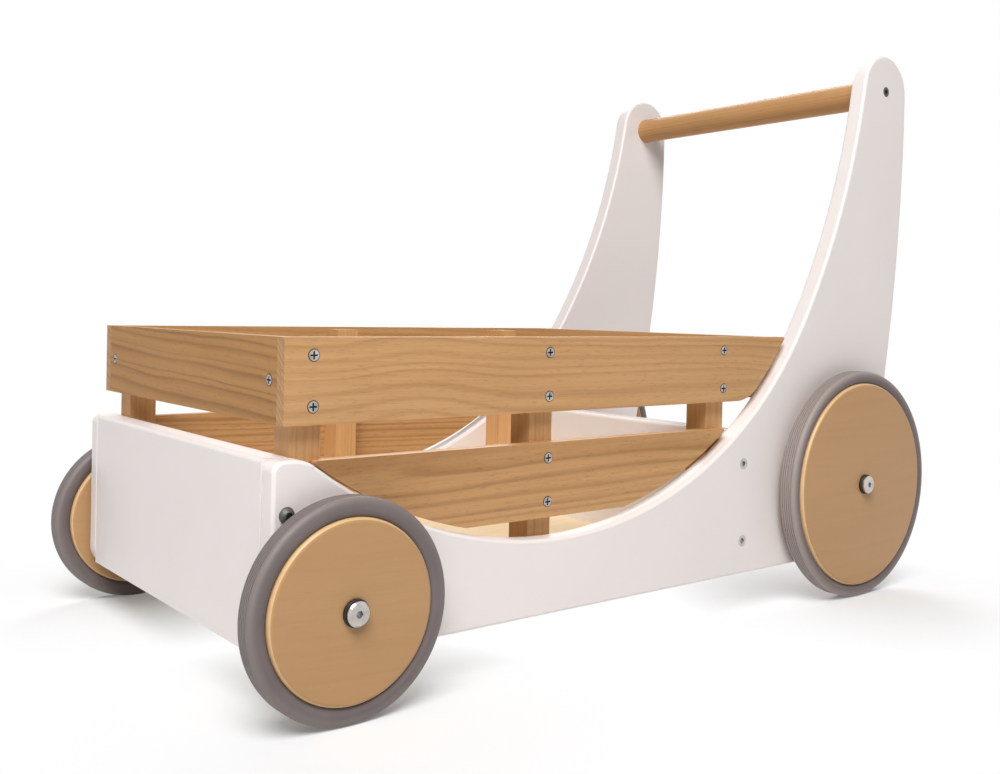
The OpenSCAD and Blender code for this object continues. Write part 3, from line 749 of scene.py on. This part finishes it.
def make_piece(
    name: str, bm: bmesh.types.BMesh, materials: tuple[bpy.types.Material, ...], nodes: tuple[str, ...],
    body: str,
) -> bpy.types.Object:
    """Makes an object from a shape, dresses it and lets it ride on its body.

    Args:
        name: Name of the piece.
        bm: Its shape, which is freed.
        materials: Its finishes, the first one for most faces.
        nodes: Solids that it stands for.
        body: Rigid body that it moves with.

    Returns:
        The new object.
    """
    mesh = bpy.data.meshes.new(name)
    bm.to_mesh(mesh)
    bm.free()
    mesh.shade_smooth()
    mesh.set_sharp_from_angle(angle=SMOOTH_ANGLE)
    for material in materials:
        mesh.materials.append(material)
    piece = bpy.data.objects.new(name, mesh)
    bpy.context.scene.collection.objects.link(piece)
    normals = piece.modifiers.new("flat_faces", "WEIGHTED_NORMAL")
    normals.keep_sharp = True
    normals.weight = FLAT_WEIGHT
    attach(piece, body)
    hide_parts(*nodes)
    LOG.info("%s on %s: %d faces", name, body, len(mesh.polygons))
    return piece


@dataclass
class PaintedBoards:
    """The white side panels and cross boards."""

    nodes: tuple[str, ...] = ("left_panel", "right_panel", "front_board", "rear_board")

    def build(self) -> None:
        """Makes every painted board."""
        for node in self.nodes:
            bm = merged_copy(node)
            join_flats(bm)
            paint = PAINT.material(f"paint_{node}")
            make_piece(f"{node}_painted", bm, (paint,), (node,), "frame")


@dataclass
class WoodBoard:
    """One board, post or slat of lacquered wood with eased edges.

    Attributes:
        node: Solid that it stands for.
        finish: Its wood.
        slot: Name of a material slot; not used.
        grain: Axis that the fibres follow.
        cut: Where it lay in its log.
        ease: Rounding of its edges.
        hole_ease: Rounding of its countersinks' edges.
        hole_turn: Least and greatest turn of those edges, in degrees.
        hole_value: How light the countersinks are beside the rest of the board; their darkening stands for
            end grain and painted shade.
    """

    node: str
    finish: WoodFinish
    slot: str
    grain: Grain
    cut: Cut
    ease: float = 0.0011
    hole_ease: float = 0.0003
    hole_turn: Pair = (40.0, 50.0)
    hole_value: float = 0.55

    def build(self) -> None:
        """Makes the board, with slightly eased countersinks darkened for end grain and painted shade."""
        bm = merged_copy(self.node)
        join_flats(bm)
        # The countersinks' wood is darker: end grain and painted shade.
        mark_countersinks(bm, self.hole_turn)
        ease_edges(bm, self.hole_ease, segments=1, turn=self.hole_turn)
        ease_edges(bm, self.ease)
        make_piece(f"{self.node}_wood", bm, (self._wood("face", 1.0), self._wood("hole", self.hole_value)),
                   (self.node,), "frame")

    def _wood(self, part: str, value: float) -> bpy.types.Material:
        """Makes the wood of a part of the board.

        Args:
            part: Name of the part.
            value: How light it is beside the rest of the board.

        Returns:
            The material.
        """
        cut = replace(self.cut, value=self.cut.value * value)
        return self.finish.material(f"wood_{self.node}_{part}", self.grain, middle_of(self.node), cut)


@dataclass
class Tray:
    """The slatted tray: posts, rails and floor."""

    rails: dict[str, tuple[WoodFinish, Grain, Cut]] = field(default_factory=lambda: {
        "left_upper_rail": (
            RAIL_PINE, Grain.X, Cut((-0.030, -0.062), (0.6, 0.9), 0.13, hump=(0.135, 0.006, 0.045))),
        "right_upper_rail": (RAIL_PINE, Grain.X, Cut((0.034, 0.058), (-0.8, 1.0), 1.31)),
        "left_lower_rail": (STRIPED_PINE, Grain.X, Cut((-0.024, 0.070), (0.5, -1.0), 2.47)),
        "right_lower_rail": (STRIPED_PINE, Grain.X, Cut((0.028, -0.066), (0.4, 1.8), 3.62)),
        "front_rail": (DARK_PINE, Grain.Y, Cut((-0.026, -0.074), (0.7, -1.6), 4.18)),
        "back_rail": (RAIL_PINE, Grain.Y, Cut((0.030, 0.064), (0.5, 1.4), 5.53)),
    })
    posts: dict[str, Cut] = field(default_factory=lambda: {
        "front_left_post": Cut((-0.034, 0.012), (0.4, 0.3), 0.21),
        "front_right_post": Cut((0.030, 0.018), (0.3, -0.5), 1.43),
        "middle_left_post": Cut((0.036, -0.014), (-0.6, 0.2), 2.65),
        "middle_right_post": Cut((-0.032, -0.020), (0.5, 0.4), 3.87),
        "rear_left_post": Cut((0.028, 0.022), (0.2, -0.4), 4.09),
        "rear_right_post": Cut((-0.038, 0.010), (-0.3, 0.6), 5.31),
    })
    floor_cut: Cut = Cut((0.02, -0.30))
    floor_ease: float = 0.0004

    def build(self) -> None:
        """Makes the posts, rails and floor."""
        for node, cut in self.posts.items():
            WoodBoard(node, POST_PINE, "post_pine", Grain.Z, cut).build()
        for node, (finish, grain, cut) in self.rails.items():
            WoodBoard(node, finish, "rail_pine", grain, cut).build()
        WoodBoard("floor_board", PLY, "birch_ply", Grain.X, self.floor_cut, self.floor_ease).build()


@dataclass
class Fasteners:
    """Screws, bolts, nuts, pins and spacers."""

    ease: float = 0.00018
    screw_shadow_rim: float = 0.0007
    pin_cut: Cut = Cut((0.02, 0.02))
    screws: tuple[str, ...] = ("side_rail_screws", "front_rail_screws")
    bolts: dict[str, tuple[MetalFinish, MetalFinish, str]] = field(default_factory=lambda: {
        "front_board_bolts": (DARK_STEEL, DARK_PAINTED_SOCKET_SHADE, "dark_steel"),
        "rear_board_bolts": (SATIN_STEEL, PALE_PAINTED_SOCKET_SHADE, "satin_steel"),
        "handle_bolts": (DARK_STEEL, DARK_PAINTED_SOCKET_SHADE, "dark_steel"),
        "barrel_nuts": (SATIN_STEEL, PALE_PAINTED_SOCKET_SHADE, "satin_steel"),
        "axle_inserts": (SATIN_STEEL, PALE_PAINTED_SOCKET_SHADE, "satin_steel"),
        "axle_bolts": (NICKEL, PALE_PAINTED_SOCKET_SHADE, "nickel"),
    })

    def build(self) -> None:
        """Makes every fastener of the frame."""
        for node in self.screws:
            plating = ZINC.material(f"metal_{node}"), BROWN_PAINTED_RECESS_SHADE.material(f"socket_{node}")
            self._dress(node, plating, self.screw_shadow_rim)
        for node, (finish, socket, slot) in self.bolts.items():
            plating = finish.material(f"metal_{node}"), socket.material(f"socket_{node}")
            self._dress(node, plating, self.ease)
        self._dress("wheel_spacers", (NYLON.material("nylon_wheel_spacers"),), self.ease)
        pins = DOWEL_WOOD.material("wood_back_rail_pins", Grain.Y, Vector((0, 0, 0)), self.pin_cut)
        self._dress("back_rail_pins", (pins,), self.ease)

    def _dress(self, node: str, materials: tuple[bpy.types.Material, ...], rim: float) -> None:
        """Copies one set of fasteners with crisp but not sharp edges and recesses in a painted shade.

        Args:
            node: Solids to copy.
            materials: Their finish and, if they have recesses, the darker finish inside these, a painted
                shade.
            rim: Size of the rounding round sunk heads, which takes the recess finish as a painted shadow
                ring, if it is more than the common one.
        """
        bm = merged_copy(node)
        join_flats(bm)
        if len(materials) > 1:
            mark_recesses(bm)
        if rim > self.ease:
            # The rounding round each sunk head takes the recess finish: a painted shadow ring.
            ease_edges(bm, rim, segments=4, outside=True, material=1)
        ease_edges(bm, self.ease, segments=2)
        make_piece(f"{node}_dressed", bm, materials, (node,), "frame")


@dataclass
class Turned:
    """A round shape turned about a line along Y."""

    axis_x: float
    axis_z: float
    steps: int = 192

    def spin(self, profile: list[Triple], segments: int = 5) -> bmesh.types.BMesh:
        """Turns a closed profile.

        Args:
            profile: Radius, place along the axis and corner rounding of each corner, in order.
            segments: Number of faces across a rounding.

        Returns:
            The closed shape.
        """
        bm = bmesh.new()
        corners = [bm.verts.new((self.axis_x + r, y, self.axis_z)) for r, y, _ in profile]
        for first, second in zip(corners, corners[1:] + corners[:1]):
            bm.edges.new((first, second))
        for corner, (_, _, rounding) in zip(corners, profile):
            if rounding > 0:
                bmesh.ops.bevel(
                    bm, geom=[corner], offset=rounding, affect="VERTICES", segments=segments,
                    profile=0.5, material=-1,
                )
        bmesh.ops.spin(
            bm, geom=bm.verts[:] + bm.edges[:], cent=(self.axis_x, 0.0, self.axis_z), axis=(0.0, 1.0, 0.0),
            angle=2 * math.pi, steps=self.steps, use_merge=True, use_duplicate=False,
        )
        bmesh.ops.remove_doubles(bm, verts=bm.verts, dist=MERGE)
        bmesh.ops.recalc_face_normals(bm, faces=bm.faces)
        return bm


@dataclass
class Handle:
    """The round push handle between the uprights."""

    node: str = "handle_dowel"
    cut: Cut = Cut((0.018, 0.012), (0.5, 0.8), 0.4)
    ease: float = 0.001
    steps: int = 128

    def build(self) -> None:
        """Turns the dowel and dresses it."""
        low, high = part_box(self.node)
        middle = middle_of(self.node)
        radius = (high.z - low.z) / 2
        bm = Turned(middle.x, middle.z, self.steps).spin([
            (0.0, low.y, 0.0), (radius, low.y, self.ease), (radius, high.y, self.ease), (0.0, high.y, 0.0),
        ], segments=3)
        material = DOWEL_WOOD.material("wood_handle", Grain.Y, middle, self.cut)
        make_piece("handle_dowel_wood", bm, (material,), (self.node,), "frame")


@dataclass
class Wheel:
    """One wheel: a birch disc in a grooved rubber tyre, with a black bush.

    Attributes:
        axle: Axle line that carries it.
        side: Side of the walker.
        cut: Where its disc lay in the log.
        disc_edge: Rounding of the disc's rim.
        bush_cover: How far the bush's flange reaches over the disc.
        bush_ease: Rounding of the bush's edges.
        seat: Gap between disc and tyre.
        face_turn: Part of a normal along Y below which a face of the disc belongs to its rim, which is
            painted paler as a highlight.
        shoulder: Rounding of the tyre's shoulders.
        lip: Size of the slopes at the tyre's inner edges.
        lip_round: Rounding of these slopes' outer edges.
        grooves: Number of tread grooves.
        groove_pitch: Distance between their middles.
        groove_size: Their width and depth.
    """

    axle: Axle
    side: Side
    cut: Cut
    disc_edge: float = 0.003
    bush_cover: float = 0.0012
    bush_ease: float = 0.0004
    seat: float = 0.00005
    face_turn: float = 0.84
    shoulder: float = 0.0035
    lip: float = 0.0026
    lip_round: float = 0.0022
    grooves: int = 5
    groove_pitch: float = 0.0019
    groove_size: float = 0.0006

    @property
    def name(self) -> str:
        """Gives the wheel's name."""
        return f"{self.axle.value}_{self.side.value}"

    def build(self) -> None:
        """Makes the disc, the tyre and the bush."""
        self._disc()
        self._tyre()
        self._bush()

    def _turned(self, node: str) -> Turned:
        """Gives the line that a node of this wheel turns about."""
        middle = middle_of(node)
        return Turned(middle.x, middle.z)

    def _radius(self, part: str) -> float:
        """Gives the outer radius of one of the wheel's solids."""
        low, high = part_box(f"{self.name}_{part}")
        return (high.z - low.z) / 2

    def _disc(self) -> None:
        """Turns the disc and dresses it, with its rim painted paler as a highlight."""
        node = f"{self.name}_disc"
        low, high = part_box(node)
        radius = self._radius("disc")
        bore = self._radius("bush") - self.bush_cover
        bm = self._turned(node).spin([
            (bore, low.y, 0.0), (radius, low.y, self.disc_edge),
            (radius, high.y, self.disc_edge), (bore, high.y, 0.0),
        ])
        # Rim faces take the paler birch: a painted highlight.
        for face in bm.faces:
            face.material_index = int(abs(face.normal.y) < self.face_turn)
        woods = tuple(
            finish.material(f"wood_{node}_{part}", Grain.X, middle_of(node), self.cut)
            for part, finish in (("face", BIRCH), ("rim", BIRCH_RIM_PAINTED_HIGHLIGHT))
        )
        make_piece(f"{node}_wood", bm, woods, (node,), f"{self.name}_wheel")

    def _tyre(self) -> None:
        """Turns the tyre, with its lips, shoulders and tread grooves, and dresses it."""
        node = f"{self.name}_tyre"
        low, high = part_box(node)
        radius = self._radius("tyre")
        inner = self._radius("disc") + self.seat
        middle = (low.y + high.y) / 2
        profile = [
            (inner, low.y + self.lip, 0.0), (inner + self.lip, low.y, self.lip_round),
            (radius, low.y, self.shoulder),
        ]
        for index in range(self.grooves):
            at = middle + (index - (self.grooves - 1) / 2) * self.groove_pitch
            half = self.groove_size / 2
            floor = radius - self.groove_size
            profile += [(radius, at - half, 0.0), (floor, at - half, 0.0), (floor, at + half, 0.0),
                        (radius, at + half, 0.0)]
        profile += [
            (radius, high.y, self.shoulder), (inner + self.lip, high.y, self.lip_round),
            (inner, high.y - self.lip, 0.0),
        ]
        bm = self._turned(node).spin(profile)
        material = RUBBER[self.axle].material(f"rubber_{node}", middle_of(node), radius)
        make_piece(f"{node}_rubber", bm, (material,), (node,), f"{self.name}_wheel")

    def _bush(self) -> None:
        """Copies the bush with eased edges and dresses it."""
        node = f"{self.name}_bush"
        bm = merged_copy(node)
        join_flats(bm)
        ease_edges(bm, self.bush_ease)
        make_piece(f"{node}_nylon", bm, (NYLON.material(f"nylon_{node}"),), (node,),
                   f"{self.name}_wheel")


@dataclass(frozen=True)
class Lamp:
    """A round soft lamp that points at the walker."""

    name: str
    place: Triple
    size: float
    power: float

    def build(self) -> None:
        """Hangs the lamp."""
        data = bpy.data.lights.new(self.name, "AREA")
        data.shape = "DISK"
        data.size = self.size
        data.energy = self.power
        lamp = bpy.data.objects.new(self.name, data)
        lamp.location = self.place
        lamp.rotation_mode = "QUATERNION"
        lamp.rotation_quaternion = (-Vector(self.place)).to_track_quat("-Z", "Y")
        bpy.context.scene.collection.objects.link(lamp)


@dataclass
class Studio:
    """Pale floor, soft light and the camera.

    Attributes:
        floor_size: Length of the floor's sides.
        floor_cells: Number of faces along a side.
        floor_colour: Colour of the floor in the light.
        floor_lift: How white the floor is at the wheels' feet and away from them.
        floor_reach: Distances from the feet that these two belong to.
        ambient: Strength of the light from all round.
        lamps: The soft lamps.
        image: Width and height of the picture.
        focal_px: Focal length in pixels.
        centre_px: Where the camera's axis meets the picture.
        camera_place: Place of the camera.
        heading: Direction of its axis from +X towards +Y, in degrees.
        pitch: Rise of its axis, in degrees.
        roll: Turn about its axis, in degrees.
        sensor: Width of its sensor in millimetres.
        view_range: Nearest and farthest distance that it sees.
    """

    floor_size: float = 30.0
    floor_cells: int = 8
    floor_colour: Rgba = (0.92, 0.92, 0.92, 1.0)
    floor_lift: Pair = (0.16, 1.0)
    floor_reach: Pair = (0.025, 0.16)
    ambient: float = 0.05
    lamps: tuple[Lamp, ...] = (
        Lamp("soft_key", (0.96, 1.03, 1.69), 1.3, 47.0),
        Lamp("soft_back", (-1.05, -1.25, 1.47), 1.3, 23.0),
    )
    image: tuple[int, int] = (1000, 774)
    focal_px: float = 1076.15
    centre_px: Pair = (485.0, 316.57)
    camera_place: Triple = (0.58366, 0.69950, 0.23705)
    heading: float = 232.061
    pitch: float = -0.3265
    roll: float = 1.0945
    sensor: float = 36.0
    view_range: Pair = (0.01, 100.0)

    def build(self) -> None:
        """Makes the floor, the world, the lamps and the camera."""
        bpy.context.scene.view_settings.view_transform = "Standard"
        self._floor()
        self._world()
        for lamp in self.lamps:
            lamp.build()
        self._camera()

    @staticmethod
    def _seen(nodes: bpy.types.Nodes, links: bpy.types.NodeLinks) -> Socket:
        """Tells rays that show the background from rays that carry light.

        Args:
            nodes: Nodes of a material or the world.
            links: Links between them.

        Returns:
            1 for camera, mirror and glass rays, else 0.
        """
        path = nodes.new("ShaderNodeLightPath")
        total = path.outputs["Is Camera Ray"]
        for ray in ("Is Glossy Ray", "Is Transmission Ray"):
            either = nodes.new("ShaderNodeMath")
            either.operation = "MAXIMUM"
            links.new(total, either.inputs[0])
            links.new(path.outputs[ray], either.inputs[1])
            total = either.outputs[0]
        return total

    def _floor(self) -> None:
        """Lays a pale floor that turns white away from the wheels with a glow for camera and mirror rays,
        painted light that covers the walker's shadow beyond the wheels' feet.
        """
        bm = bmesh.new()
        cells = self.floor_cells
        bmesh.ops.create_grid(bm, x_segments=cells, y_segments=cells, size=self.floor_size / 2)
        mesh = bpy.data.meshes.new("studio_floor")
        bm.to_mesh(mesh)
        bm.free()
        tree = ShaderTree("studio_floor")
        nodes, links = tree.tree.nodes, tree.tree.links
        matt = tree.add("ShaderNodeBsdfDiffuse", {"Color": self.floor_colour})
        away = self.floor_size
        for wheel in WHEELS:
            foot = middle_of(f"{wheel.name}_tyre") * Vector((1.0, 1.0, 0.0))
            reach = tree.vector("DISTANCE", tree.place(), foot).outputs["Value"]
            away = tree.math("MINIMUM", reach, away)
        # Painted light: the white glow grows away from the nearest wheel's foot and covers the shadow there.
        lift = tree.span(away, *self.floor_lift, *self.floor_reach)
        lift = tree.math("MULTIPLY", self._seen(nodes, links), lift)
        glow = tree.add("ShaderNodeEmission", {"Color": WHITE, "Strength": 1.0})
        both = tree.add("ShaderNodeMixShader", {0: lift, 1: matt.outputs[0], 2: glow.outputs[0]})
        tree.add("ShaderNodeOutputMaterial", {"Surface": both.outputs[0]})
        mesh.materials.append(tree.material)
        floor = bpy.data.objects.new("studio_floor", mesh)
        bpy.context.scene.collection.objects.link(floor)

    def _world(self) -> None:
        """Surrounds the walker with even soft light in front of a white background."""
        world = bpy.data.worlds.new("studio")
        world.use_nodes = True
        bpy.context.scene.world = world
        nodes, links = world.node_tree.nodes, world.node_tree.links
        nodes.clear()
        soft = nodes.new("ShaderNodeBackground")
        soft.inputs["Strength"].default_value = self.ambient
        white = nodes.new("ShaderNodeBackground")
        for background in (soft, white):
            background.inputs["Color"].default_value = WHITE
        mix = nodes.new("ShaderNodeMixShader")
        links.new(self._seen(nodes, links), mix.inputs[0])
        links.new(soft.outputs[0], mix.inputs[1])
        links.new(white.outputs[0], mix.inputs[2])
        links.new(mix.outputs[0], nodes.new("ShaderNodeOutputWorld").inputs["Surface"])

    def _camera(self) -> None:
        """Sets the camera at the photograph's place, angle and framing."""
        width, height = self.image
        data = bpy.data.cameras.new("photo_camera")
        data.sensor_fit = "HORIZONTAL"
        data.sensor_width = self.sensor
        data.lens = self.focal_px / width * self.sensor
        data.shift_x = (width / 2 - self.centre_px[0]) / width
        data.shift_y = (self.centre_px[1] - height / 2) / width
        data.clip_start, data.clip_end = self.view_range
        camera = bpy.data.objects.new("photo_camera", data)
        turn = Matrix.Rotation(math.radians(self.heading - 90), 4, "Z")
        turn @= Matrix.Rotation(math.radians(90 + self.pitch), 4, "X")
        turn @= Matrix.Rotation(math.radians(self.roll), 4, "Z")
        camera.matrix_world = Matrix.Translation(self.camera_place) @ turn
        bpy.context.scene.collection.objects.link(camera)
        bpy.context.scene.camera = camera


WHEELS = (
    Wheel(Axle.FRONT, Side.LEFT, Cut((-0.075, 0.050), (1.4, 1.8), 0.3)),
    Wheel(Axle.FRONT, Side.RIGHT, Cut((0.080, -0.040), (-1.2, 1.4), 1.7)),
    Wheel(Axle.REAR, Side.LEFT, Cut((-0.070, -0.060), (1.0, -1.6), 2.9, 1.06)),
    Wheel(Axle.REAR, Side.RIGHT, Cut((0.085, 0.055), (-1.5, 1.2), 4.1, 1.06)),
)


def main() -> None:
    """Builds the walker and its studio."""
    logging.basicConfig(level=logging.INFO, format="%(message)s")
    for assembly in (PaintedBoards(), Tray(), Handle(), Fasteners(), *WHEELS, Studio()):
        LOG.info("building %s", type(assembly).__name__)
        assembly.build()


if __name__ == "__main__":
    main()
